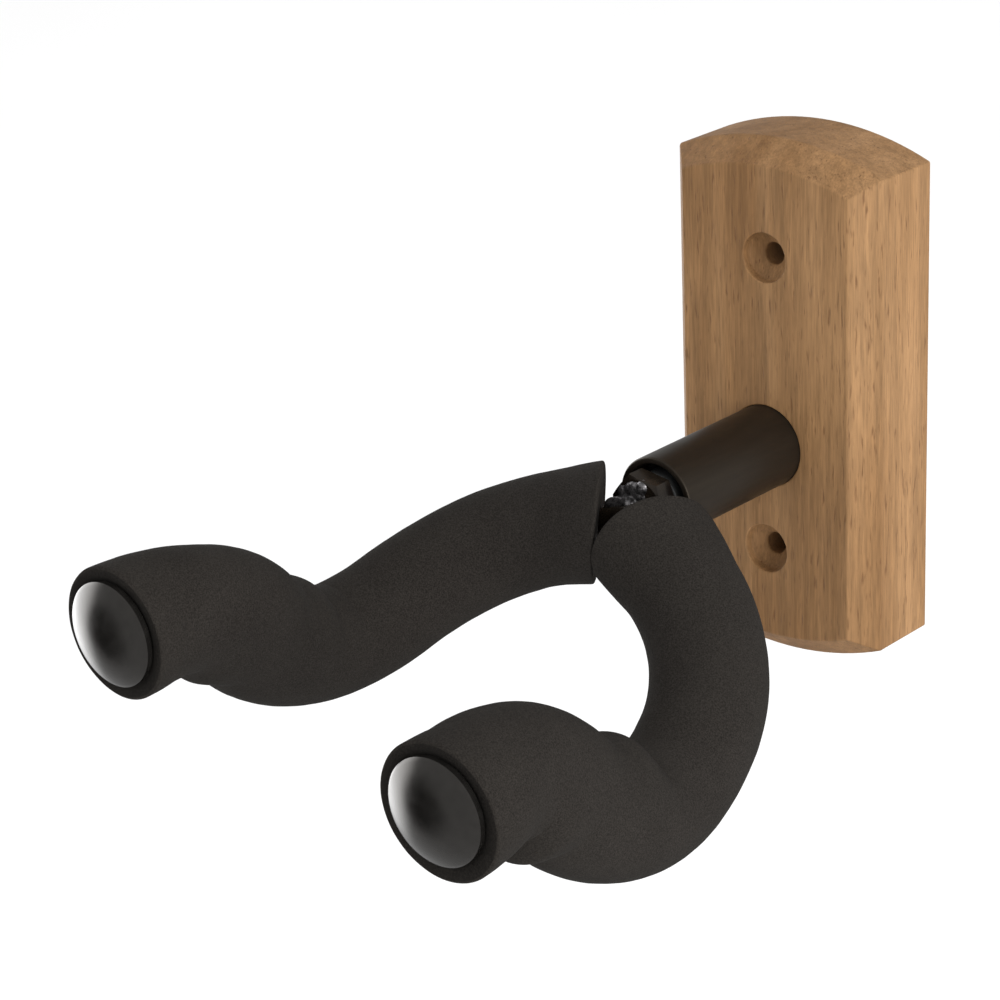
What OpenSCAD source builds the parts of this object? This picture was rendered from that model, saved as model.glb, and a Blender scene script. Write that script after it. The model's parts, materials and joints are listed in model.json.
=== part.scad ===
// Wall hanger for a guitar: a hardwood backplate, a steel spacer tube and a swivelling yoke
// of two bent rods in foam sleeves. Millimetres, +Z up.
// The origin is the centre of the backplate's back face, on the wall. +Y goes into the wall,
// so the yoke reaches out along -Y.

/* [Backplate] */
// Width of the backplate
plate_w = 55; // [50:1:70]
// Height of the backplate's straight sides
plate_side_h = 110; // [100:1:130]
// Rise of the arched top and bottom edges over the sides
plate_rise = 5.5; // [3:0.5:8]
// Thickness of the backplate
plate_t = 24; // [23:0.5:30]
// Width of the front edge's chamfer, measured across the face
chamfer_w = 5.2; // [3:0.1:6]
// Depth of the front edge's chamfer, measured through the thickness
chamfer_d = 6; // [3:0.1:7]

/* [Wall screws] */
// Distance between the two screw holes
screw_spacing = 69; // [64:1:80]
// Diameter of a screw hole
screw_hole_d = 5; // [4:0.1:5.5]
// Diameter of the counterbore for a screw's head
screw_head_d = 11.4; // [9:0.1:13]
// Depth of the counterbore's straight wall
screw_head_depth = 2.2; // [1.5:0.1:5]

/* [Spacer tube] */
// Height of the swivel axis over the centre of the backplate
axis_z = -9.5; // [-14:0.5:-6]
// Outer diameter of the spacer tube
tube_d = 19; // [18:0.1:20]
// Wall of the spacer tube
tube_wall = 1.5; // [1:0.1:1.6]
// Length of spacer tube that stands out of the backplate
tube_len = 40; // [30:1:60]
// Depth of the recess that holds the spacer tube's end
tube_seat = 3; // [2:0.5:4]

/* [Swivel] */
// Diameter of the pivot bolt
bolt_d = 8; // [7:0.5:8]
// Radial clearance around the pivot bolt
bolt_gap = 0.05; // [0.03:0.01:0.1]
// Width of the hexagons across their flats
hex_af = 13; // [12:0.5:13]
// How far the yoke has swung round from level
yoke_tilt = 8.9; // [-15:0.1:15]

/* [Yoke] */
// Diameter of the steel rod
rod_d = 6.4; // [5:0.1:7]
// Outer diameter of the foam sleeves
foam_d = 25; // [20:0.1:26]
// Distance along the rod from the centre plane to the slanted inner end of each foam sleeve
foam_start = 7.2; // [7.2:0.1:11]
// Diameter of the end caps
cap_d = 22.4; // [16:0.1:24]
// Height of the end caps' domes
cap_dome = 3.6; // [2:0.1:5]

/* [Hidden] */
$fn = 96;

// Distance that cutting shapes run past the faces they cut, and a size that is larger than the hanger
past = 1;
large = 200;

// Backplate
half_w = plate_w / 2;
half_side = plate_side_h / 2;
arch_r = (half_w * half_w + plate_rise * plate_rise) / (2 * plate_rise);
arch_centre_z = half_side + plate_rise - arch_r;
drill_point_angle = 118;
screw_cone_depth = (screw_head_d - screw_hole_d) / 2 / tan(drill_point_angle / 2);

// Stations along the swivel axis, as Y values
seat_y = -plate_t + tube_seat;
mouth_y = -plate_t - tube_len;
washer_t = 1;
head_t = 5;
head_back_y = mouth_y - washer_t;
head_front_y = head_back_y - head_t;
pocket_depth = 13;
pocket_d = 20;
rear_washer_t = 1.6;
wave_washer_t = 1.2;
nut_back_y = -pocket_depth + rear_washer_t + wave_washer_t;
nut_hex_t = 6;
nut_collar_t = 2;
nut_collar_inset = 0.3;
bolt_end_y = -1.2;
bolt_hole_gap = 0.4;
insert_wall = 1.2;

// Sleeve between the bolt and the spacer tube
sleeve_d = 12;
sleeve_flange_t = 3;
sleeve_flange_inset = 6;
sleeve_bore_r = bolt_d / 2 + bolt_gap;

// Right rod's corners before bending, from the centre of the spacer tube's mouth, with the yoke level
rod_flat = 0.3;
rod_start_y = -washer_t - head_t - rod_d / 2 + rod_flat;
rod_corners = [[0, rod_start_y, -1.9], [35.1, -12.9, -18.2], [48.7, -62, -44.7], [39.6, -91, -5.7],
               [43.1, -110.2, -6.7], [43.3, -118, -7]];
rod_bends = [43, 34, 29.5, 20];
rod_overrun = 8;

// A bar's straights are this much thinner than its bends and run this far into them, to join cleanly
bend_step = 0.05;
bend_lap = 1;

// Foam sleeves and end caps. The sleeves' slanted inner ends lean and turn away from the centre plane.
rod_gap = 0.05;
foam_cut_lean = 10;
foam_cut_turn = 26;
cap_rim_t = 1.6;
cap_stem_len = 6;
cap_stem_wall = 1.2;

// Weld beads
weld_r = 3.7;
weld_offset = 1.7;
weld_len = 5;

function unit(v) = v / norm(v);
function turn_angle(a, b, c) = acos(unit(b - a) * unit(c - b));
function tangent_len(a, b, c, r) = r * tan(turn_angle(a, b, c) / 2);
function bend_start(a, b, c, r) = b + unit(a - b) * tangent_len(a, b, c, r);
function bend_end(a, b, c, r) = b + unit(c - b) * tangent_len(a, b, c, r);
function bend_centre(a, b, c, r) =
    b + unit(unit(a - b) + unit(c - b)) * r / cos(turn_angle(a, b, c) / 2);

// Turns a shape that is drawn along +Z so that it runs from p towards q
module from_to(p, q) {
    d = q - p;
    translate(p)
        rotate([0, acos(d.z / norm(d)), atan2(d.y, d.x)])
            children();
}

// Straight stretch of a round bar, lengthened at its ends
module bar_straight(p, q, r, lap_p = 0, lap_q = 0) {
    from_to(p, q)
        translate([0, 0, -lap_p])
            cylinder(h = norm(q - p) + lap_p + lap_q, r = r);
}

// Bend of a round bar at corner b, on the way from a to c
module bar_bend(a, b, c, bend_r, r) {
    centre = bend_centre(a, b, c, bend_r);
    u = unit(bend_start(a, b, c, bend_r) - centre);
    n = unit(cross(b - a, c - b));
    v = cross(n, u);
    multmatrix([[u.x, v.x, n.x, centre.x], [u.y, v.y, n.y, centre.y], [u.z, v.z, n.z, centre.z]])
        rotate_extrude(angle = turn_angle(a, b, c))
            translate([bend_r, 0])
                circle(r);
}

// Round bar through a list of corners, with a bend radius for each inner corner
module bent_bar(corners, bends, r) {
    last = len(corners) - 1;
    for (i = [0 : last - 1]) {
        from = i == 0 ? corners[0]
            : bend_end(corners[i - 1], corners[i], corners[i + 1], bends[i - 1]);
        to = i == last - 1 ? corners[last]
            : bend_start(corners[i], corners[i + 1], corners[i + 2], bends[i]);
        bar_straight(from, to, r - bend_step, i == 0 ? 0 : bend_lap, i == last - 1 ? 0 : bend_lap);
    }
    for (i = [1 : last - 1])
        bar_bend(corners[i - 1], corners[i], corners[i + 1], bends[i - 1], r);
}

// Cylinder along the swivel axis from station y0 to station y1
module axial(y0, y1, r) {
    translate([0, y0, axis_z])
        rotate([-90, 0, 0])
            cylinder(h = y1 - y0, r = r);
}

// Ring along the swivel axis
module axial_ring(y0, y1, r_out, r_in) {
    difference() {
        axial(y0, y1, r_out);
        axial(y0 - past, y1 + past, r_in);
    }
}

// Hexagon bar along the swivel axis, with a corner at the top
module axial_hex(y0, y1) {
    translate([0, y0, axis_z])
        rotate([-90, 0, 0])
            rotate(90)
                cylinder(h = y1 - y0, r = hex_af / sqrt(3), $fn = 6);
}

// Swings the yoke's pieces round the swivel axis to where the yoke rests
module tilted() {
    translate([0, 0, axis_z])
        rotate([0, yoke_tilt, 0])
            translate([0, 0, -axis_z])
                children();
}

// Puts the right arm's pieces in place from the mouth of the spacer tube, or mirrors them to the left
module yoke_arm(side) {
    tilted()
        translate([0, mouth_y, axis_z])
            mirror([side < 0 ? 1 : 0, 0, 0])
                children();
}

// Disc with a chamfered front edge that forms one arched end of the backplate
module arched_end(z) {
    translate([0, 0, z])
        rotate([90, 0, 0])
            rotate_extrude($fn = 180)
                polygon([[0, 0], [arch_r, 0], [arch_r, plate_t - chamfer_d],
                         [arch_r - chamfer_w, plate_t], [0, plate_t]]);
}

// Bar with chamfered front edges that forms the backplate's sides
module plate_sides() {
    translate([0, 0, -large / 2])
        linear_extrude(large)
            polygon([[-half_w, 0], [half_w, 0], [half_w, -plate_t + chamfer_d],
                     [half_w - chamfer_w, -plate_t], [-half_w + chamfer_w, -plate_t],
                     [-half_w, -plate_t + chamfer_d]]);
}

// Counterbored screw hole through the backplate at height z
module screw_hole(z) {
    translate([0, past, z])
        rotate([90, 0, 0])
            cylinder(h = plate_t + 2 * past, d = screw_hole_d);
    translate([0, -plate_t - past, z])
        rotate([-90, 0, 0])
            cylinder(h = screw_head_depth + past, d = screw_head_d);
    translate([0, -plate_t + screw_head_depth, z])
        rotate([-90, 0, 0])
            cylinder(h = screw_cone_depth, d1 = screw_head_d, d2 = screw_hole_d);
}

module backplate() {
    color([0.55, 0.40, 0.27])
        difference() {
            intersection() {
                arched_end(arch_centre_z);
                arched_end(-arch_centre_z);
                plate_sides();
            }
            screw_hole(screw_spacing / 2);
            screw_hole(-screw_spacing / 2);
            axial(-plate_t - past, seat_y, tube_d / 2);
            axial(seat_y - past, past, bolt_d / 2 + bolt_hole_gap);
            axial(-pocket_depth, past, pocket_d / 2);
        }
}

module spacer_tube() {
    color([0.08, 0.07, 0.06])
        axial_ring(mouth_y, seat_y, tube_d / 2, tube_d / 2 - tube_wall);
}

module bearing_sleeve() {
    flange_r = tube_d / 2 - tube_wall - bolt_gap;
    front_flange_y = mouth_y + sleeve_flange_inset;
    color([0.15, 0.15, 0.15])
        difference() {
            union() {
                axial(mouth_y, seat_y, sleeve_d / 2);
                axial(front_flange_y, front_flange_y + sleeve_flange_t, flange_r);
                axial(seat_y - sleeve_flange_t, seat_y, flange_r);
            }
            axial(mouth_y - past, seat_y + past, sleeve_bore_r);
        }
}

module thrust_washer() {
    color([0.2, 0.2, 0.2])
        axial_ring(head_back_y, mouth_y, sleeve_d / 2, sleeve_bore_r);
}

module pivot_bolt() {
    color([0.1, 0.1, 0.1])
        tilted() {
            axial_hex(head_front_y, head_back_y);
            axial(head_back_y, bolt_end_y, bolt_d / 2);
        }
}

module rear_washer() {
    color([0.75, 0.75, 0.72])
        axial_ring(-pocket_depth, -pocket_depth + rear_washer_t, bolt_d, sleeve_bore_r);
}

module wave_washer() {
    color([0.6, 0.6, 0.58])
        axial_ring(-pocket_depth + rear_washer_t, nut_back_y, bolt_d - 1, sleeve_bore_r);
}

module lock_nut() {
    collar_y = nut_back_y + nut_hex_t;
    color([0.7, 0.7, 0.68])
        tilted()
            difference() {
                union() {
                    axial_hex(nut_back_y, collar_y);
                    axial(collar_y, collar_y + nut_collar_t, hex_af / 2 - nut_collar_inset);
                }
                axial(nut_back_y - past, collar_y + past, bolt_d / 2);
                axial(collar_y, collar_y + nut_collar_t + past, bolt_d / 2 + insert_wall);
            }
}

module nut_insert() {
    front_y = nut_back_y + nut_hex_t;
    back_y = front_y + nut_collar_t - nut_collar_inset;
    color([0.2, 0.35, 0.7])
        tilted()
            axial_ring(front_y, back_y, bolt_d / 2 + insert_wall, bolt_d / 2);
}

// Round bar of radius r along the right rod, which starts well past the centre plane
module rod_body(r) {
    overrun_start = rod_corners[0] - unit(rod_corners[1] - rod_corners[0]) * rod_overrun;
    rest = [for (i = [1 : len(rod_corners) - 1]) rod_corners[i]];
    bent_bar(concat([overrun_start], rest), rod_bends, r);
}

// Everything on the right of the centre plane and in front of the bolt's head
module weld_side() {
    translate([0, -washer_t - head_t - large, -large / 2])
        cube(large);
}

module rod(side) {
    color([0.07, 0.07, 0.07])
        yoke_arm(side)
            intersection() {
                rod_body(rod_d / 2);
                weld_side();
            }
}

// Fillet of weld above and below a rod, against the bolt's head
module weld(side) {
    start = rod_corners[0] + [0, weld_offset, 0];
    way = unit(rod_corners[1] - rod_corners[0]);
    yoke_arm(side)
        difference() {
            intersection() {
                bar_straight(start - way * rod_overrun, start + way * weld_len, weld_r);
                weld_side();
            }
            rod_body(rod_d / 2);
        }
}

module weld_beads() {
    color([0.12, 0.12, 0.12]) {
        weld(1);
        weld(-1);
    }
}

// Everything past the slanted plane at which the right foam sleeve's inner end is cut
module foam_end_cut() {
    translate(rod_corners[0] + unit(rod_corners[1] - rod_corners[0]) * foam_start)
        rotate([0, foam_cut_lean, -foam_cut_turn])
            translate([-large, -large / 2, -large / 2])
                cube(large);
}

// Foam sleeve that is threaded over a rod, up to the end cap
module foam(side) {
    color([0.2, 0.19, 0.18])
        yoke_arm(side)
            difference() {
                rod_body(foam_d / 2);
                rod_body(rod_d / 2 + rod_gap);
                foam_end_cut();
                cap_place() cap_stem_space();
            }
}

// Puts a shape drawn from the origin along +Z on the right rod's end, pointing outwards
module cap_place() {
    last = len(rod_corners) - 1;
    tip = rod_corners[last];
    from_to(tip, tip + unit(tip - rod_corners[last - 1])) children();
}

module cap_stem_space() {
    translate([0, 0, -cap_stem_len - past])
        cylinder(h = cap_stem_len + 2 * past, r = rod_d / 2 + cap_stem_wall + rod_gap);
}

module cap(side) {
    dome_r = (cap_d * cap_d / 4 + cap_dome * cap_dome) / (2 * cap_dome);
    color([0.04, 0.04, 0.04])
        yoke_arm(side)
            cap_place() {
                cylinder(h = cap_rim_t, d = cap_d);
                intersection() {
                    translate([0, 0, cap_rim_t + cap_dome - dome_r]) sphere(dome_r);
                    translate([0, 0, cap_rim_t]) cylinder(h = cap_dome + past, d = cap_d);
                }
                difference() {
                    translate([0, 0, -cap_stem_len])
                        cylinder(h = cap_stem_len, r = rod_d / 2 + cap_stem_wall);
                    translate([0, 0, -cap_stem_len - past])
                        cylinder(h = cap_stem_len + past, d = rod_d);
                }
            }
}

backplate();
spacer_tube();
bearing_sleeve();
thrust_washer();
pivot_bolt();
rear_washer();
wave_washer();
lock_nut();
nut_insert();
weld_beads();
rod(-1);  // left_rod
rod(1);  // right_rod
foam(-1);  // left_foam
foam(1);  // right_foam
cap(-1);  // left_cap
cap(1);  // right_cap
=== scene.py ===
"""Looks of a wall hanger for a guitar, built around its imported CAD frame.

The hardwood block, the spacer tube and the still hardware ride on the body "wall_mount".
The bolt, nut, rods, foam sleeves, caps and weld ride on the body "yoke". Their shapes are drawn with
the yoke level and are then swung to where it rests.
Lengths are in millimetres until a mesh is made.
"""

import json
import math

import bmesh
import bpy
from mathutils import Matrix, Vector, noise


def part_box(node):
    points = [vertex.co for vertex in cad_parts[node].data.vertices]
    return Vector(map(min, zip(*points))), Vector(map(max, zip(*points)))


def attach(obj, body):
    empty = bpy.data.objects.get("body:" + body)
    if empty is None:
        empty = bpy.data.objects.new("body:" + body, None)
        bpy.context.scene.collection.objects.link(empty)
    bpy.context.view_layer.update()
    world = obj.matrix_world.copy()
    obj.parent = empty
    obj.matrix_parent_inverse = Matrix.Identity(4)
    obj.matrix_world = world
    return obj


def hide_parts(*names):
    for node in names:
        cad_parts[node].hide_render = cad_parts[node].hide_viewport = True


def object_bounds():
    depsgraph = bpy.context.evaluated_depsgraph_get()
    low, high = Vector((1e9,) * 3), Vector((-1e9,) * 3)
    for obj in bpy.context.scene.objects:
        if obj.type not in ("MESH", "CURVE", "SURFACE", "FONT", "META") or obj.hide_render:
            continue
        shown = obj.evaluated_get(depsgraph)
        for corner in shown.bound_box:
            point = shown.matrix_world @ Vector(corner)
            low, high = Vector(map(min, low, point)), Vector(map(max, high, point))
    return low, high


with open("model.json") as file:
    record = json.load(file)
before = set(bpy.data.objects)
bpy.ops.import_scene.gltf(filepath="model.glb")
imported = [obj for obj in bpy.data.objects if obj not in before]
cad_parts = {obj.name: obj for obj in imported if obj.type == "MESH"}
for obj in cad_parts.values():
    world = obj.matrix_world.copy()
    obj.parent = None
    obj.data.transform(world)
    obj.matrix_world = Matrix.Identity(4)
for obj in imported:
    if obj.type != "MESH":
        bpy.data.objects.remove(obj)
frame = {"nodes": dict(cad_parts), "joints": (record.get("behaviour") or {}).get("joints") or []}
cad_low, cad_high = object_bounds()

MM = 0.001
ROUND = 96
TAU = 2 * math.pi

# Noise vectors, which shape the weld, follow the clock unless they are given a seed
noise.seed_set(1)

# The yoke, drawn level from the middle of the spacer tube's mouth, as in the CAD part
YOKE_TILT = math.radians(8.9)
ROD_R = 3.2
ROD_CORNERS = [(0, -8.9, -1.9), (35.1, -12.9, -18.2), (48.7, -62, -44.7), (39.6, -91, -5.7),
               (43.1, -110.2, -6.7), (43.3, -118, -7)]
ROD_BENDS = [43, 34, 29.5, 20]
FOAM_R = 12.5
FOAM_BORE_R = 3.25
CAP_R = 11.2
CAP_RIM = 1.6
CAP_DOME = 3.6
CAP_STEM_R = 4.4
CAP_STEM_LEN = 6


# ---------------------------------------------------------------- places from the frame

def span(node):
    """Lowest and highest corner of a CAD node, in millimetres."""
    low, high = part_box(node)
    return low / MM, high / MM


swivel = Vector(frame["joints"][0]["pos_m"]) / MM
YOKE_TURN = Matrix.Translation(swivel) @ Matrix.Rotation(YOKE_TILT, 4, "Y")


def yoke_place(side):
    """Matrix from the level right arm to the right (1) or left (-1) arm at rest."""
    return YOKE_TURN @ Matrix.Diagonal((side, 1, 1, 1))


# ---------------------------------------------------------------- mesh helpers

def mesh_piece(name, points, faces, place=None, smooth_angle=35):
    """Object from points in millimetres, with its normals outwards and its sharp edges kept sharp."""
    place = place or Matrix.Identity(4)
    mesh = bpy.data.meshes.new(name)
    mesh.from_pydata([(place @ Vector(p)) * MM for p in points], [], faces)
    piece = bpy.data.objects.new(name, mesh)
    bpy.context.scene.collection.objects.link(piece)
    bm = bmesh.new()
    bm.from_mesh(mesh)
    bmesh.ops.remove_doubles(bm, verts=bm.verts, dist=0.002 * MM)
    bmesh.ops.dissolve_degenerate(bm, edges=bm.edges, dist=0.001 * MM)
    bmesh.ops.recalc_face_normals(bm, faces=bm.faces)
    bm.to_mesh(mesh)
    bm.free()
    shade(piece, smooth_angle)
    return piece


def shade(piece, smooth_angle):
    """Smooth shading that stops at edges sharper than the angle, in degrees."""
    piece.data.shade_smooth()
    piece.data.set_sharp_from_angle(angle=math.radians(smooth_angle))


def woven(columns, closed_profile=True):
    """Points and faces of a surface made of columns of points that close up into a ring."""
    rows = len(columns[0])
    points = [p for column in columns for p in column]
    faces = []
    for i in range(len(columns)):
        j = (i + 1) % len(columns)
        for k in range(rows if closed_profile else rows - 1):
            m = (k + 1) % rows
            faces.append((i * rows + k, j * rows + k, j * rows + m, i * rows + m))
    return points, faces


def turned(name, profile_at, place=None, steps=ROUND, closed_profile=True, smooth_angle=35):
    """Piece turned about the Y axis. profile_at(angle) gives its outline there as (radius, y) pairs."""
    columns = []
    for i in range(steps):
        angle = TAU * i / steps
        columns.append([(r * math.cos(angle), y, r * math.sin(angle)) for r, y in profile_at(angle)])
    points, faces = woven(columns, closed_profile)
    return mesh_piece(name, points, faces, place, smooth_angle)


def eased(corners, radii, steps=5):
    """Closed outline of (radius, y) corners with each corner rounded by its own radius."""
    outline = []
    for i, (corner, radius) in enumerate(zip(corners, radii)):
        b = Vector(corner)
        if radius == 0:
            outline.append(tuple(b))
            continue
        before = (Vector(corners[i - 1]) - b).normalized()
        after = (Vector(corners[(i + 1) % len(corners)]) - b).normalized()
        half = before.angle(after) / 2
        centre = b + (before + after).normalized() * radius / math.sin(half)
        start = b + before * radius / math.tan(half) - centre
        end = b + after * radius / math.tan(half) - centre
        turn = start.angle_signed(end)
        for k in range(steps + 1):
            arm = start.copy()
            arm.rotate(Matrix.Rotation(-turn * k / steps, 2))
            outline.append(tuple(centre + arm))
    return outline


def ring_outline(y0, y1, r_in, r_out, edge):
    """Outline of a ring between two stations, with its edges rounded."""
    return eased([(r_in, y0), (r_out, y0), (r_out, y1), (r_in, y1)], [edge] * 4)


# ---------------------------------------------------------------- arm's centre line

class Line:
    """Round bar's centre line through corners, with a bend at each inner one."""

    def __init__(self, corners, bends, step=0.25):
        corners = [Vector(c) for c in corners]
        self.points = [corners[0]]
        self.bends = []
        for a, b, c, radius in zip(corners, corners[1:], corners[2:], bends):
            self._bend(a, b, c, radius, step)
        self._straight(corners[-1], step)
        self.stations = [0.0]
        for p, q in zip(self.points, self.points[1:]):
            self.stations.append(self.stations[-1] + (q - p).length)
        self.length = self.stations[-1]
        self._frames()

    def _straight(self, end, step):
        start = self.points[-1]
        count = max(1, round((end - start).length / step))
        self.points += [start.lerp(end, k / count) for k in range(1, count + 1)]

    def _bend(self, a, b, c, radius, step):
        back, ahead = (a - b).normalized(), (c - b).normalized()
        turn = math.pi - back.angle(ahead)
        tangent = radius * math.tan(turn / 2)
        centre = b + (back + ahead).normalized() * radius / math.cos(turn / 2)
        self._straight(b + back * tangent, step)
        start = self.points[-1] - centre
        axis = (b - a).cross(c - b).normalized()
        count = max(2, round(radius * turn / step))
        first = len(self.points) - 1
        for k in range(1, count + 1):
            self.points.append(centre + Matrix.Rotation(turn * k / count, 3, axis) @ start)
        self.bends.append((first + count // 2, centre))

    def _frames(self):
        """Two cross directions at each point, carried along the line without twisting."""
        self.tangents = []
        last = len(self.points) - 1
        for i in range(len(self.points)):
            before, after = self.points[max(i - 1, 0)], self.points[min(i + 1, last)]
            self.tangents.append((after - before).normalized())
        up = Vector((0, 0, 1))
        self.ups = []
        for tangent in self.tangents:
            up = (up - tangent * up.dot(tangent)).normalized()
            self.ups.append(up)

    def at(self, station):
        """Point, tangent, side and up directions at a station, carried straight on past the ends."""
        share = min(max(station / self.length, 0.0), 1.0)
        guess = share * (len(self.points) - 1)
        i = min(int(guess), len(self.points) - 2)
        while i > 0 and self.stations[i] > station:
            i -= 1
        while i < len(self.points) - 2 and self.stations[i + 1] < station:
            i += 1
        t = (station - self.stations[i]) / (self.stations[i + 1] - self.stations[i])
        inside = min(max(t, 0.0), 1.0)
        tangent = self.tangents[i].lerp(self.tangents[i + 1], inside).normalized()
        up = self.ups[i].lerp(self.ups[i + 1], inside)
        up = (up - tangent * up.dot(tangent)).normalized()
        point = self.points[i].lerp(self.points[i + 1], inside)
        point = point + tangent * (t - inside) * (self.stations[i + 1] - self.stations[i])
        return point, tangent, tangent.cross(up), up

    def skin(self, station, angle, radius):
        """Point on a bar of the given radius, at an angle round the line."""
        point, _, side, up = self.at(station)
        return point + (side * math.cos(angle) + up * math.sin(angle)) * radius

    def outward(self, station, angle):
        _, _, side, up = self.at(station)
        return side * math.cos(angle) + up * math.sin(angle)

    def cut(self, angle, radius, point, normal, low=-30.0, high=45.0):
        """Station where the bar's skin crosses a plane near the line's start."""
        for _ in range(30):
            middle = (low + high) / 2
            if (self.skin(middle, angle, radius) - point).dot(normal) < 0:
                low = middle
            else:
                high = middle
        return (low + high) / 2

    def bend_station(self, number):
        return self.stations[self.bends[number][0]]

    def bend_inside(self, number):
        """Direction from the line towards the inside of a bend, at its middle."""
        index, centre = self.bends[number]
        return (centre - self.points[index]).normalized()


arm = Line(ROD_CORNERS, ROD_BENDS)


# ---------------------------------------------------------------- foam sleeves

# Slanted inner end of each sleeve: distance along the rod, turn and lean. The two are cut by hand, so
# they differ by a few degrees.
SLEEVE_CUTS = {1: (7.2, 26, 11), -1: (7.8, 34, 2)}
# How far the skin flares at the inner end: all round, and more on the side towards the wall
MOUTH_FLARE = 0.7
MOUTH_FLARE_BACK = {1: 1.3, -1: 0.0}
MOUTH_FLARE_LEN = 14
# The foam swells on the inside of the two sharp bends: bend, place from its middle, height
SWELLS = {
    1: [(1, 13.0, 5.4), (2, -6.0, 6.0)],
    -1: [(1, 15.0, 4.2), (2, -5.0, 4.8)],
}
SWELL_LEN = 15
# Creases in the swollen places: bend, place from its middle, depth
CREASES = {
    1: [(1, 0.5, 2.0), (2, 5.0, 1.7)],
    -1: [(1, -9.0, 1.0), (1, 1.5, 1.0), (2, 8.0, 1.5)],
}
CREASE_LEN = 3.5
# The caps press on the tips, which swell out of round
TIP_BULGE = {1: 2.0, -1: 1.7}
TIP_SAG = {1: 0.7, -1: 0.3}
TIP_BULGE_LEN = 22
TIP_PROUD = 0.2
TIP_FLOOR = 0.1
CAP_PLAY = 0.15
FOAM_COLUMNS = 120
OUTER_ROWS = 300
BORE_ROWS = 40
# Rounding of the skin's two edges, and where its rows lie, as shares of that rounding
FOAM_LIP = 0.6
CUT_LIP = 0.6
EDGE_SHARES = (0.0, 0.04, 0.15, 0.35, 0.65, 1.0)
# Faces along the skin, and then across the cut end round the cap, in each strip of the sleeve
SKIN_ROWS = OUTER_ROWS + 2 * len(EDGE_SHARES) - 2
CUT_ROWS = 4
# Unevenness of the skin: height, and waves per millimetre. The arms take theirs from places far apart.
UNEVEN = ((0.16, 0.06), (0.05, 0.3))
UNEVEN_SHIFT = 200


def soft_step(x):
    x = min(max(x, 0.0), 1.0)
    return x * x * (3 - 2 * x)


def lip_inset(distance, radius):
    """How far a rounded edge stands back, at a distance from the end."""
    if distance >= radius:
        return 0.0
    return radius - math.sqrt(max(radius * radius - (radius - distance) ** 2, 0.0))


def cut_plane(side):
    """Point on and direction into the foam of the plane that a sleeve's inner end lies in."""
    start, turn, lean = SLEEVE_CUTS[side]
    lean = Matrix.Rotation(math.radians(lean), 3, "Y")
    turn = Matrix.Rotation(math.radians(-turn), 3, "Z")
    return arm.at(start)[0], turn @ lean @ Vector((1, 0, 0))


def swelling(side, station, outward):
    """How far the skin stands out on the inside of the bends, less the creases there."""
    height = 0.0
    for bend, offset, highest in SWELLS[side]:
        away = (station - arm.bend_station(bend) - offset) / SWELL_LEN
        facing = max(0.0, outward.dot(arm.bend_inside(bend)))
        height += highest * math.exp(-away * away) * facing ** 1.5
    for bend, offset, deepest in CREASES[side]:
        away = abs(station - arm.bend_station(bend) - offset) / CREASE_LEN
        facing = max(0.0, outward.dot(arm.bend_inside(bend)))
        height -= deepest * math.exp(-away) * facing ** 3
    return height


def foam_radius(side, station, angle, from_cut):
    """Radius of a sleeve's skin, with its bulged tip, flared mouth, swollen bends and unevenness."""
    outward = arm.outward(station, angle)
    bulge = TIP_BULGE[side] - TIP_SAG[side] * outward.z
    bulge *= soft_step(1 - (arm.length - station) / TIP_BULGE_LEN)
    flare = MOUTH_FLARE + MOUTH_FLARE_BACK[side] * max(0.0, outward.y)
    flare *= soft_step(1 - from_cut / MOUTH_FLARE_LEN)
    place = arm.skin(station, angle, FOAM_R) + Vector((side * UNEVEN_SHIFT, 0, 0))
    uneven = sum(height * noise.noise(place * waves) for height, waves in UNEVEN)
    return FOAM_R + bulge + flare + uneven + swelling(side, station, outward)


def foam_column(side, angle):
    """Closed run of points: along the skin, across the tip, back along the bore, across the cut."""
    cut_at, cut_into = cut_plane(side)
    start = arm.cut(angle, FOAM_R, cut_at, cut_into)
    bore_start = arm.cut(angle, FOAM_BORE_R, cut_at, cut_into)
    end = arm.length + TIP_PROUD
    floor = arm.length - TIP_FLOOR
    column = []
    stations = [start + CUT_LIP * share for share in EDGE_SHARES]
    inner, outer = stations[-1], end - FOAM_LIP
    stations += [inner + (outer - inner) * k / OUTER_ROWS for k in range(1, OUTER_ROWS)]
    stations += [end - FOAM_LIP * share for share in reversed(EDGE_SHARES)]
    for station in stations:
        inset = lip_inset(station - start, CUT_LIP) + lip_inset(end - station, FOAM_LIP)
        radius = foam_radius(side, station, angle, station - start) - inset
        column.append(arm.skin(station, angle, radius))
    column.append(arm.skin(end - 0.05, angle, CAP_R + 3 * CAP_PLAY))
    for radius in (CAP_R + CAP_PLAY, 0.7 * CAP_R, 0.5 * CAP_R):
        column.append(arm.skin(floor, angle, radius))
    for k in range(BORE_ROWS + 1):
        column.append(arm.skin(floor + (bore_start - floor) * k / BORE_ROWS, angle, FOAM_BORE_R))
    for share in (0.35, 0.7):
        radius = FOAM_BORE_R + (FOAM_R - FOAM_BORE_R) * share
        column.append(arm.skin(arm.cut(angle, radius, cut_at, cut_into), angle, radius))
    return column


def foam_sleeve(name, side):
    columns = [foam_column(side, TAU * i / FOAM_COLUMNS) for i in range(FOAM_COLUMNS)]
    points, faces = woven(columns)
    return mesh_piece(name, points, faces, yoke_place(side), smooth_angle=60)


def paint_shade_on_cut_end(sleeve, material):
    """Gives the cut end face round the cap a darker copy of the foam: painted shade, as that face turns
    away from the light.
    """
    sleeve.data.materials.append(material)
    rows = len(sleeve.data.polygons) // FOAM_COLUMNS
    for face in sleeve.data.polygons:
        if SKIN_ROWS <= face.index % rows < SKIN_ROWS + CUT_ROWS:
            face.material_index = 1


# ---------------------------------------------------------------- rods, caps and weld

ROD_ROWS = 160
CAP_DOME_STEPS = 24
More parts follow.
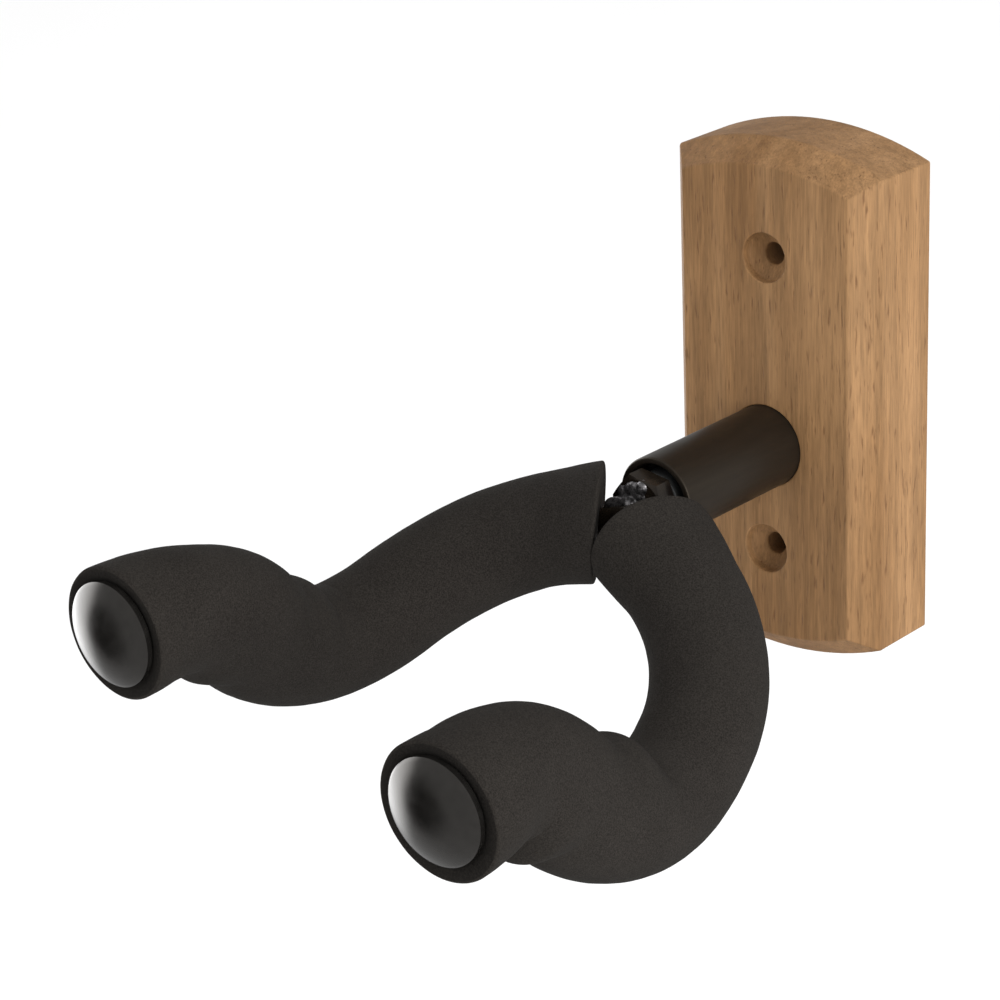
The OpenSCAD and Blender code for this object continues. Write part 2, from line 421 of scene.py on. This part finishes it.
# Share of the dome that is drawn before its edge turns down to the rim, and the rim's own chamfer
CAP_DOME_SHARE = 0.965
CAP_CHAMFER = 0.25
# A run of weld blobs lies above (1) and below (-1) each rod, with its own blob radius
WELD_RUNS = ((1, 1.75), (-1, 1.35))
WELD_RUN_BLOBS = 9
WELD_RUN_START = 0.35
WELD_RUN_STEP = 0.62
WELD_RUN_LIFT = 0.9
WELD_RUN_BACK = 1.9
# More blobs are piled up the face of the bolt's head
WELD_PILE_BLOBS = 14
WELD_PILE_R = 1.65
WELD_PILE_CENTRE = -1.6
WELD_PILE_SPREAD = 4.5
WELD_PILE_FOOT = 1.4
WELD_PILE_STEP = 0.26
WELD_PILE_SUNK = 0.7
WELD_UNEVEN = 0.5
WELD_VOXEL = 0.22


def rod_piece(name, side):
    """Bent rod, mitred on the centre plane where it meets the other rod."""
    columns = []
    for i in range(ROUND // 2):
        angle = TAU * i / (ROUND // 2)
        start = arm.cut(angle, ROD_R, Vector((0, 0, 0)), Vector((1, 0, 0)))
        column = [arm.skin(start, angle, 0.001)]
        for k in range(ROD_ROWS + 1):
            column.append(arm.skin(start + (arm.length - start) * k / ROD_ROWS, angle, ROD_R))
        column.append(arm.skin(arm.length, angle, 0.001))
        columns.append(column)
    points, faces = woven(columns, closed_profile=False)
    return mesh_piece(name, points, faces, yoke_place(side))


def cap_outline():
    """Outline of an end cap from its dome's top to its hollow stem, along +Y away from the foam."""
    sphere_r = (CAP_R ** 2 + CAP_DOME ** 2) / (2 * CAP_DOME)
    half_angle = math.asin(CAP_R / sphere_r)
    outline = []
    for k in range(CAP_DOME_STEPS + 1):
        a = half_angle * k / CAP_DOME_STEPS * CAP_DOME_SHARE
        outline.append((sphere_r * math.sin(a), CAP_RIM + CAP_DOME - sphere_r * (1 - math.cos(a))))
    outline += [(CAP_R, CAP_RIM - 0.1), (CAP_R, CAP_CHAMFER), (CAP_R - CAP_CHAMFER, 0)]
    outline.append((CAP_STEM_R, 0))
    outline += [(CAP_STEM_R, -CAP_STEM_LEN), (ROD_R, -CAP_STEM_LEN), (ROD_R, -0.05), (0, -0.05)]
    return outline


def cap_piece(name, side):
    point, tangent, across, up = arm.at(arm.length)
    turn = Matrix((across, tangent, up)).transposed().to_4x4()
    place = yoke_place(side) @ Matrix.Translation(point) @ turn
    outline = cap_outline()
    return turned(name, lambda angle: outline, place, closed_profile=False)


def weld_piece(name):
    """Lumpy bead above and below the two rods and up the face of the bolt's head, where they meet."""
    head_front = span("pivot_bolt")[0].y - swivel.y
    blobs = []
    seed = 0
    for side in (-1, 1):
        for lift, size in WELD_RUNS:
            for k in range(WELD_RUN_BLOBS):
                seed += 1
                point, _, _, up = arm.at(WELD_RUN_START + WELD_RUN_STEP * k)
                wobble = noise.noise_vector(Vector((seed * 3.7, 1.3, 0.4)))
                spot = point + up * lift * ROD_R * WELD_RUN_LIFT + Vector((0, WELD_RUN_BACK, 0))
                spot += wobble * WELD_UNEVEN
                blobs.append((yoke_place(side) @ spot, size + WELD_UNEVEN * wobble.x))
    for k in range(WELD_PILE_BLOBS):
        wobble = noise.noise_vector(Vector((k * 2.9, 4.1, 0.7)))
        spot = Vector((WELD_PILE_CENTRE + WELD_PILE_SPREAD * wobble.x, head_front + WELD_PILE_SUNK,
                       WELD_PILE_FOOT + WELD_PILE_STEP * k + wobble.z))
        blobs.append((YOKE_TURN @ spot, WELD_PILE_R + WELD_UNEVEN * wobble.y))
    bm = bmesh.new()
    for spot, radius in blobs:
        bmesh.ops.create_icosphere(bm, subdivisions=2, radius=radius * MM,
                                   matrix=Matrix.Translation(spot * MM))
    mesh = bpy.data.meshes.new(name)
    bm.to_mesh(mesh)
    bm.free()
    piece = bpy.data.objects.new(name, mesh)
    bpy.context.scene.collection.objects.link(piece)
    remesh = piece.modifiers.new("union", "REMESH")
    remesh.mode = "VOXEL"
    remesh.voxel_size = WELD_VOXEL * MM
    soften = piece.modifiers.new("soften", "SMOOTH")
    soften.factor = 0.5
    soften.iterations = 6
    shade(piece, 180)
    return piece


# ---------------------------------------------------------------- hexagons, bolt, nut and washers

TUBE_WALL = 1.5
HEX_AF = 13.0
HEAD_HEIGHT = 5
BOLT_R = 4.0
THREAD_PITCH = 1.25
THREAD_DEPTH = 0.62
THREAD_START = -20.0
ROWS_PER_TURN = 10
# The thread's end is chamfered, and a ring that turns on the bolt has this much room round it
THREAD_CHAMFER = 0.6
SLIDE_GAP = 0.05
# The lock nut's collar, and the nylon ring that it holds
NUT_COLLAR = 2
INSERT_R = BOLT_R + 1.2


def hex_radius(angle):
    """Distance from the axis to a hexagon's flats, with a corner at the top."""
    return HEX_AF / 2 / math.cos((angle - math.pi / 2 + math.pi / 6) % (math.pi / 3) - math.pi / 6)


def hex_outline(angle, y0, y1, chamfer0, chamfer1):
    """Outline of a hexagon whose corners are turned off by a 30 degree cone, at either end."""
    r = hex_radius(angle)
    inner = HEX_AF / 2 - 0.15
    fall = (r - inner) * math.tan(math.radians(30))
    edge0, edge1 = fall * chamfer0, fall * chamfer1
    return [(inner, y0), (r, y0 + edge0), (r, y1 - edge1), (inner, y1)]


def thread_radius(angle, y, start):
    """Radius of the bolt's thread, which fades in past the plain shank."""
    phase = (y / THREAD_PITCH - angle / TAU) % 1.0
    tooth = abs(phase * 2 - 1)
    return BOLT_R - THREAD_DEPTH * tooth * soft_step((y - start) / THREAD_PITCH)


def bolt_outline(angle):
    low, high = span("pivot_bolt")
    head_front, head_back, end = low.y, low.y + HEAD_HEIGHT, high.y
    outline = [(0, head_front)] + hex_outline(angle, head_front, head_back, 1, 0)
    outline += [(BOLT_R + 0.3, head_back), (BOLT_R, head_back + 0.3)]
    shank = THREAD_START - head_back
    outline += [(BOLT_R, head_back + shank * share) for share in (0.2, 0.4, 0.6, 0.8)]
    threaded = end - THREAD_CHAMFER - THREAD_START
    rows = int(threaded / (THREAD_PITCH / ROWS_PER_TURN))
    for k in range(rows + 1):
        y = THREAD_START + threaded * k / rows
        outline.append((thread_radius(angle, y, THREAD_START), y))
    outline += [(BOLT_R - 0.95, end), (0, end)]
    return outline


def nut_outline(angle):
    low, high = span("lock_nut")
    y0, y1 = low.y, high.y - NUT_COLLAR
    collar = HEX_AF / 2 - 0.3
    outline = [(BOLT_R, y0), (BOLT_R + 0.35, y0)] + hex_outline(angle, y0, y1, 1, 1)
    outline += [(collar, y1), (collar, high.y - 0.9)]
    outline += [(collar - 0.25, high.y - 0.35), (collar - 0.9, high.y), (INSERT_R, high.y)]
    outline += [(INSERT_R, y1), (BOLT_R, y1)]
    return outline


def wave_outline(angle):
    """Wave washer that is nearly pressed flat."""
    low, high = span("wave_washer")
    half = (high.x - low.x) / 2
    thick = 0.5
    middle = (low.y + high.y) / 2
    lift = (high.y - low.y - thick) / 2 * math.cos(3 * angle)
    outline = ring_outline(-thick / 2, thick / 2, BOLT_R + 0.2, half, 0.12)
    return [(r, y + middle + lift) for r, y in outline]


def axis_place():
    """Puts a piece turned about Y on the swivel axis, at rest and not turned."""
    return Matrix.Translation((swivel.x, 0, swivel.z))


def swung_place():
    """The same, swung round with the yoke."""
    return axis_place() @ Matrix.Rotation(YOKE_TILT, 4, "Y")


def still_ring(name, node, r_in, edge):
    """Ring on the swivel axis between a CAD node's ends, out to its outer radius."""
    low, high = span(node)
    outline = ring_outline(low.y, high.y, r_in, (high.x - low.x) / 2, edge)
    return turned(name, lambda angle: outline, axis_place())


def bearing_piece(name):
    """Spool with a flange near each end."""
    low, high = span("bearing_sleeve")
    flange_r = (high.x - low.x) / 2
    barrel_r = 6.0
    flange = 3
    front = low.y + 6
    corners = [(BOLT_R + SLIDE_GAP, low.y), (barrel_r, low.y), (barrel_r, front), (flange_r, front),
               (flange_r, front + flange), (barrel_r, front + flange), (barrel_r, high.y - flange),
               (flange_r, high.y - flange), (flange_r, high.y), (BOLT_R + SLIDE_GAP, high.y)]
    outline = eased(corners, [0.15, 0.3, 0.2, 0.3, 0.3, 0.2, 0.2, 0.3, 0.3, 0.15])
    return turned(name, lambda angle: outline, axis_place())


# ---------------------------------------------------------------- hardwood block

def block_piece(name):
    """Block from the frame's own mesh, with its flat faces made whole and its edges eased."""
    mesh = frame["nodes"]["backplate"].data.copy()
    mesh.name = name
    mesh.materials.clear()
    bm = bmesh.new()
    bm.from_mesh(mesh)
    bmesh.ops.remove_doubles(bm, verts=bm.verts, dist=0.002 * MM)
    bmesh.ops.dissolve_limit(bm, angle_limit=math.radians(0.4), verts=bm.verts, edges=bm.edges)
    bm.to_mesh(mesh)
    bm.free()
    piece = bpy.data.objects.new(name, mesh)
    bpy.context.scene.collection.objects.link(piece)
    bevel = piece.modifiers.new("eased_edges", "BEVEL")
    bevel.width = 0.45 * MM
    bevel.segments = 3
    bevel.limit_method = "ANGLE"
    bevel.angle_limit = math.radians(24)
    bevel.use_clamp_overlap = True
    bevel.harden_normals = True
    shade(piece, 30)
    return piece


# ---------------------------------------------------------------- materials

class Shader:
    """Node material with short ways to add and join nodes."""

    def __init__(self, name, **base):
        self.material = bpy.data.materials.new(name)
        self.material.use_nodes = True
        self.tree = self.material.node_tree
        self.base = self.tree.nodes["Principled BSDF"]
        for socket, value in base.items():
            self.base.inputs[socket.replace("_", " ")].default_value = value
        self.coords = self.tree.nodes.new("ShaderNodeTexCoord").outputs["Object"]

    def join(self, source, target):
        self.tree.links.new(source, target)

    def scaled(self, x, y, z):
        """Object coordinates, in metres, times a factor on each axis."""
        mapping = self.tree.nodes.new("ShaderNodeMapping")
        mapping.inputs["Scale"].default_value = (x, y, z)
        self.join(self.coords, mapping.inputs["Vector"])
        return mapping.outputs["Vector"]

    def noise(self, vector, detail=2.0, roughness=0.5, distortion=0.0):
        """Noise whose grains are one unit of the vector across."""
        node = self.tree.nodes.new("ShaderNodeTexNoise")
        node.inputs["Scale"].default_value = 1.0
        node.inputs["Detail"].default_value = detail
        node.inputs["Roughness"].default_value = roughness
        node.inputs["Distortion"].default_value = distortion
        self.join(vector, node.inputs["Vector"])
        return node.outputs["Fac"]

    def ramp(self, value, *stops):
        """Colour or grey for a value, from (place, colour) stops."""
        node = self.tree.nodes.new("ShaderNodeValToRGB")
        elements = node.color_ramp.elements
        while len(elements) < len(stops):
            elements.new(1.0)
        for element, (place, colour) in zip(elements, stops):
            element.position = place
            grey = not isinstance(colour, tuple)
            element.color = (colour, colour, colour, 1) if grey else (*colour, 1)
        self.join(value, node.inputs["Fac"])
        return node.outputs["Color"]

    def mix(self, share, a, b, mode="MIX"):
        """Colour a changed towards b by a share. Each may be a socket or a value."""
        node = self.tree.nodes.new("ShaderNodeMix")
        node.data_type = "RGBA"
        node.blend_type = mode
        for index, value in ((0, share), (6, a), (7, b)):
            if isinstance(value, bpy.types.NodeSocket):
                self.join(value, node.inputs[index])
            elif index == 0:
                node.inputs[0].default_value = value
            else:
                node.inputs[index].default_value = (*value, 1)
        return node.outputs[2]

    def math(self, operation, a, b=0.0):
        node = self.tree.nodes.new("ShaderNodeMath")
        node.operation = operation
        for index, value in ((0, a), (1, b)):
            if isinstance(value, bpy.types.NodeSocket):
                self.join(value, node.inputs[index])
            else:
                node.inputs[index].default_value = value
        return node.outputs[0]

    def bump(self, height, depth_mm, normal=None):
        """Bump of a stated depth in millimetres, on top of another one."""
        node = self.tree.nodes.new("ShaderNodeBump")
        node.inputs["Strength"].default_value = 1.0
        node.inputs["Distance"].default_value = depth_mm * MM
        self.join(height, node.inputs["Height"])
        if normal is not None:
            self.join(normal, node.inputs["Normal"])
        return node.outputs["Normal"]

    def finish(self, colour=None, roughness=None, normal=None):
        if colour is not None:
            self.join(colour, self.base.inputs["Base Color"])
        if roughness is not None:
            self.join(roughness, self.base.inputs["Roughness"])
        if normal is not None:
            self.join(normal, self.base.inputs["Normal"])
        return self.material


def hardwood():
    """Oiled hardwood with its grain along Z: soft bands, streaks, fine fibres and short dark pores."""
    m = Shader("hardwood", Specular_IOR_Level=0.14)
    bands = m.noise(m.scaled(110, 70, 6), detail=4, roughness=0.5, distortion=0.4)
    patches = m.noise(m.scaled(26, 26, 14), detail=2, roughness=0.5)
    streaks = m.noise(m.scaled(520, 520, 22), detail=3, roughness=0.6)
    fibres = m.noise(m.scaled(2400, 2400, 130), detail=3, roughness=0.6)
    pores = m.noise(m.scaled(1800, 1800, 190), detail=2, roughness=0.5)
    tone = m.ramp(bands, (0.30, (0.185, 0.092, 0.034)), (0.46, (0.255, 0.137, 0.057)),
                  (0.58, (0.300, 0.167, 0.074)), (0.74, (0.365, 0.210, 0.100)))
    soft = m.ramp(patches, (0.32, (0.200, 0.101, 0.040)), (0.68, (0.370, 0.212, 0.100)))
    tone = m.mix(0.45, tone, soft)
    tone = m.mix(0.55, tone, m.ramp(streaks, (0.32, 0.70), (0.66, 1.18)), "MULTIPLY")
    tone = m.mix(0.7, tone, m.ramp(fibres, (0.3, 0.64), (0.7, 1.14)), "MULTIPLY")
    dark = m.ramp(pores, (0.60, 0.0), (0.74, 1.0))
    tone = m.mix(m.math("MULTIPLY", dark, 0.6), tone, (0.085, 0.034, 0.014))
    roughness = m.ramp(fibres, (0.2, 0.52), (0.8, 0.68))
    height = m.math("SUBTRACT", m.math("MULTIPLY", fibres, 0.5), dark)
    return m.finish(tone, roughness, m.bump(height, 0.05))


def tube_coating():
    """Satin black-brown coating with faint draw lines along the tube."""
    m = Shader("tube_coating", Specular_IOR_Level=0.30, Specular_Tint=(1.0, 0.84, 0.66, 1))
    lines = m.noise(m.scaled(1200, 60, 1200), detail=2)
    grains = m.noise(m.scaled(3500, 3500, 3500), detail=2)
    colour = m.ramp(lines, (0.2, (0.0085, 0.0065, 0.0048)), (0.8, (0.0125, 0.0095, 0.0070)))
    roughness = m.ramp(m.noise(m.scaled(120, 120, 120)), (0.3, 0.38), (0.7, 0.46))
    return m.finish(colour, roughness, m.bump(grains, 0.014, m.bump(lines, 0.002)))


def black_steel():
    """Glossy black coating over steel, thinner and browner in patches that lie at random."""
    m = Shader("black_steel", Metallic=0.3, Specular_Tint=(1.0, 0.92, 0.82, 1))
    cloud = m.noise(m.scaled(260, 260, 260), detail=3, roughness=0.5)
    grains = m.noise(m.scaled(2600, 2600, 2600), detail=2)
    colour = m.ramp(cloud, (0.35, (0.008, 0.006, 0.005)), (0.72, (0.024, 0.017, 0.011)))
    roughness = m.ramp(cloud, (0.3, 0.20), (0.75, 0.30))
    return m.finish(colour, roughness, m.bump(grains, 0.006))


def weld_metal():
    m = Shader("weld_metal", Metallic=0.85)
    cloud = m.noise(m.scaled(900, 900, 900), detail=4, roughness=0.65)
    ripples = m.noise(m.scaled(1500, 1500, 1500), detail=3, roughness=0.6)
    colour = m.ramp(cloud, (0.38, (0.035, 0.033, 0.033)), (0.62, (0.26, 0.25, 0.255)))
    roughness = m.ramp(cloud, (0.35, 0.45), (0.7, 0.24))
    return m.finish(colour, roughness, m.bump(ripples, 0.12))


def foam_rubber(name, brightness=1.0):
    """Fine-celled foam: dark warm grey with a light grain. Less bright, it is painted shade for the cut
    end face round the cap, which turns away from the light.
    """
    m = Shader(name, Roughness=1.0, Specular_IOR_Level=0.12)
    cells = m.noise(m.scaled(3400, 3400, 3400), detail=2, roughness=0.6)
    grain = m.noise(m.scaled(1900, 1900, 1900), detail=3, roughness=0.6)
    patches = m.noise(m.scaled(90, 90, 90), detail=2)
    tone = m.ramp(cells, (0.36, (0.0040, 0.0033, 0.0026)), (0.64, (0.038, 0.0333, 0.0290)))
    softer = m.ramp(grain, (0.35, (0.0120, 0.0102, 0.0088)), (0.65, (0.027, 0.0235, 0.0205)))
    tone = m.mix(0.35, tone, softer)
    uneven = m.ramp(patches, (0.3, (0.0150, 0.0130, 0.0112)), (0.7, (0.0225, 0.0197, 0.0172)))
    tone = m.mix(0.35, tone, uneven)
    # A brightness below one darkens the foam as painted shade
    tone = m.mix(1.0, tone, (brightness, brightness, brightness), "MULTIPLY")
    height = m.math("ADD", m.math("MULTIPLY", cells, 0.6), m.math("MULTIPLY", grain, 0.4))
    return m.finish(tone, None, m.bump(height, 0.12))


def cap_plastic():
    """Polished black plastic with the faint waviness of a moulding."""
    m = Shader("cap_plastic", Specular_IOR_Level=0.55, Specular_Tint=(1.0, 0.95, 0.90, 1))
    waves = m.noise(m.scaled(160, 160, 160), detail=1)
    haze = m.noise(m.scaled(420, 420, 420), detail=2)
    colour = m.ramp(haze, (0.3, (0.0060, 0.0055, 0.0050)), (0.7, (0.0095, 0.0088, 0.0080)))
    roughness = m.ramp(haze, (0.3, 0.20), (0.7, 0.25))
    return m.finish(colour, roughness, m.bump(waves, 0.02))


def zinc_plate():
    m = Shader("zinc_plate", Metallic=1.0)
    cloud = m.noise(m.scaled(260, 260, 260), detail=4, roughness=0.6)
    brushed = m.noise(m.scaled(900, 900, 5000), detail=2)
    colour = m.ramp(cloud, (0.3, (0.42, 0.43, 0.42)), (0.7, (0.62, 0.61, 0.56)))
    roughness = m.ramp(cloud, (0.3, 0.24), (0.7, 0.42))
    return m.finish(colour, roughness, m.bump(brushed, 0.006))


def nylon(name, dark, light):
    m = Shader(name, Subsurface_Weight=0.05, Roughness=0.5)
    cloud = m.noise(m.scaled(300, 300, 300), detail=3)
    colour = m.ramp(cloud, (0.3, dark), (0.7, light))
    roughness = m.ramp(cloud, (0.3, 0.42), (0.7, 0.58))
    return m.finish(colour, roughness, m.bump(cloud, 0.01))


# ---------------------------------------------------------------- build

def add(piece, body, material, slot, *nodes):
    """Finishes a piece: its material, the body it rides on and the CAD nodes it stands for."""
    piece.data.materials.clear()
    piece.data.materials.append(material)
    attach(piece, body)
    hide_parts(*nodes)


wood, coating, steel = hardwood(), tube_coating(), black_steel()
# The cut end face takes a darker copy of the foam, at 0.6 brightness: painted shade
foam, painted_shade_cut_foam = foam_rubber("foam_rubber"), foam_rubber("painted_shade_cut_foam", brightness=0.6)
plastic, zinc, weld_finish = cap_plastic(), zinc_plate(), weld_metal()
dark_nylon = nylon("dark_nylon", (0.012, 0.012, 0.012), (0.022, 0.022, 0.022))
blue_nylon = nylon("blue_nylon", (0.05, 0.12, 0.34), (0.08, 0.18, 0.44))

tube_low, tube_high = span("spacer_tube")
tube_r = (tube_high.x - tube_low.x) / 2
insert_low, insert_high = span("nut_insert")

add(block_piece("hardwood_block"), "wall_mount", wood, "hardwood", "backplate")
add(still_ring("coated_tube", "spacer_tube", tube_r - TUBE_WALL, 0.45), "wall_mount", coating,
    "tube_coating", "spacer_tube")
add(bearing_piece("nylon_bearing"), "wall_mount", dark_nylon, "nylon", "bearing_sleeve")
add(still_ring("nylon_thrust_washer", "thrust_washer", BOLT_R + SLIDE_GAP, 0.2), "wall_mount", dark_nylon,
    "nylon", "thrust_washer")
add(still_ring("plain_rear_washer", "rear_washer", BOLT_R + SLIDE_GAP, 0.25), "wall_mount", zinc,
    "zinc_steel", "rear_washer")
add(turned("waved_washer", wave_outline, axis_place()), "wall_mount", zinc, "zinc_steel", "wave_washer")
add(turned("hex_bolt", bolt_outline, swung_place(), steps=192, closed_profile=False, smooth_angle=25),
    "yoke", steel, "black_steel", "pivot_bolt")
add(turned("hex_lock_nut", nut_outline, swung_place(), steps=192, smooth_angle=25), "yoke", zinc,
    "zinc_steel", "lock_nut")
insert_outline = ring_outline(insert_low.y, insert_high.y, BOLT_R - 0.25, INSERT_R, 0.2)
add(turned("nylon_insert", lambda angle: insert_outline, swung_place()), "yoke", blue_nylon,
    "insert_nylon", "nut_insert")
add(weld_piece("weld"), "yoke", weld_finish, "weld", "weld_beads")

for side, word in ((-1, "left"), (1, "right")):
    sleeve = foam_sleeve(f"{word}_foam_sleeve", side)
    add(sleeve, "yoke", foam, "foam", f"{word}_foam")
    # Painted shade: the cut end face round the cap takes the darker foam
    paint_shade_on_cut_end(sleeve, painted_shade_cut_foam)
    add(rod_piece(f"{word}_bent_rod", side), "yoke", steel, "black_steel", f"{word}_rod")
    add(cap_piece(f"{word}_end_cap", side), "yoke", plastic, "cap_plastic", f"{word}_cap")


# ---------------------------------------------------------------- floor, light and camera

CAMERA_PLACE = Vector((0.4080, -0.5755, 0.2505))
CAMERA_YAW = math.radians(41.51)
CAMERA_PITCH = math.radians(21.60)
CAMERA_ROLL = math.radians(-2.31)
CAMERA_LENS = 117.2
FLOOR_DROP = 0.16
KEY_PLACE = (1.5, -0.35, 0.35)
KEY_SIZE = (1.0, 1.0)
KEY_WATTS = 20


def floor_piece():
    """Plain pale floor, well below the hanger, which a wall holds up."""
    mesh = bpy.data.meshes.new("floor")
    half = 6.0
    z = cad_low.z - FLOOR_DROP
    corners = [(-half, -half, z), (half, -half, z), (half, half, z), (-half, half, z)]
    mesh.from_pydata(corners, [], [(0, 1, 2, 3)])
    floor = bpy.data.objects.new("floor", mesh)
    bpy.context.scene.collection.objects.link(floor)
    m = Shader("pale_floor", Roughness=0.9, Specular_IOR_Level=0.1)
    tone = m.ramp(m.noise(m.scaled(3, 3, 3)), (0.3, 0.955), (0.7, 0.975))
    mesh.materials.append(m.finish(tone))
    floor.visible_glossy = False


def softbox(name, place, aim, size, watts):
    """Square area light at a place, turned towards a point."""
    data = bpy.data.lights.new(name, "AREA")
    data.shape = "RECTANGLE"
    data.size, data.size_y = size
    data.energy = watts
    light = bpy.data.objects.new(name, data)
    light.location = place
    light.rotation_euler = (Vector(aim) - Vector(place)).to_track_quat("-Z", "Y").to_euler()
    bpy.context.scene.collection.objects.link(light)


# What gloss mirrors besides a plain grey: the way to it, its inner and outer half angles, its strength
GLOSS_GREY = 0.75
GLOSS_PATCHES = [
    ((-0.96, 0.0, -0.04), 15, 43, 5.6),
    ((-0.56, -0.77, -0.30), 8, 34, 0.03),
    ((0.0, 0.75, 0.66), 20, 42, 0.15),
]


def surroundings():
    """White world for the picture and its soft light, and a studio for gloss to mirror."""
    world = bpy.data.worlds.new("studio")
    bpy.context.scene.world = world
    world.use_nodes = True
    tree = world.node_tree
    white = tree.nodes["Background"]
    white.inputs["Color"].default_value = (1, 1, 1, 1)
    white.inputs["Strength"].default_value = 1.0
    mirrored = tree.nodes.new("ShaderNodeBackground")
    direction = tree.nodes.new("ShaderNodeTexCoord").outputs["Generated"]
    strength = None
    for towards, inner, outer, brightness in GLOSS_PATCHES:
        facing = tree.nodes.new("ShaderNodeVectorMath")
        facing.operation = "DOT_PRODUCT"
        facing.inputs[1].default_value = Vector(towards).normalized()
        tree.links.new(direction, facing.inputs[0])
        share = tree.nodes.new("ShaderNodeMapRange")
        share.interpolation_type = "SMOOTHSTEP"
        share.inputs["From Min"].default_value = math.cos(math.radians(outer))
        share.inputs["From Max"].default_value = math.cos(math.radians(inner))
        tree.links.new(facing.outputs["Value"], share.inputs["Value"])
        mixer = tree.nodes.new("ShaderNodeMix")
        mixer.inputs[2].default_value = GLOSS_GREY
        mixer.inputs[3].default_value = brightness
        tree.links.new(share.outputs["Result"], mixer.inputs[0])
        if strength is not None:
            tree.links.new(strength, mixer.inputs[2])
        strength = mixer.outputs[0]
    tree.links.new(strength, mirrored.inputs["Strength"])
    mixer = tree.nodes.new("ShaderNodeMixShader")
    path = tree.nodes.new("ShaderNodeLightPath")
    tree.links.new(path.outputs["Is Glossy Ray"], mixer.inputs[0])
    tree.links.new(white.outputs[0], mixer.inputs[1])
    tree.links.new(mirrored.outputs[0], mixer.inputs[2])
    tree.links.new(mixer.outputs[0], tree.nodes["World Output"].inputs["Surface"])


def camera():
    """Camera at the photograph's angle, turned by yaw, then pitch, then roll."""
    data = bpy.data.cameras.new("camera")
    data.sensor_width = 36
    data.lens = CAMERA_LENS
    data.clip_start = 0.01
    data.clip_end = 50
    view = bpy.data.objects.new("camera", data)
    forward = Vector((-math.sin(CAMERA_YAW) * math.cos(CAMERA_PITCH),
                      math.cos(CAMERA_YAW) * math.cos(CAMERA_PITCH), -math.sin(CAMERA_PITCH)))
    right = Vector((math.cos(CAMERA_YAW), math.sin(CAMERA_YAW), 0))
    up = right.cross(forward)
    rolled_right = right * math.cos(CAMERA_ROLL) + up * math.sin(CAMERA_ROLL)
    rolled_up = up * math.cos(CAMERA_ROLL) - right * math.sin(CAMERA_ROLL)
    turn = Matrix((rolled_right, rolled_up, -forward)).transposed().to_4x4()
    view.matrix_world = Matrix.Translation(CAMERA_PLACE) @ turn
    bpy.context.scene.collection.objects.link(view)
    bpy.context.scene.camera = view


floor_piece()
surroundings()
middle = (cad_low + cad_high) / 2
softbox("key", KEY_PLACE, middle, KEY_SIZE, KEY_WATTS)
camera()
bpy.context.scene.view_settings.view_transform = "Standard"
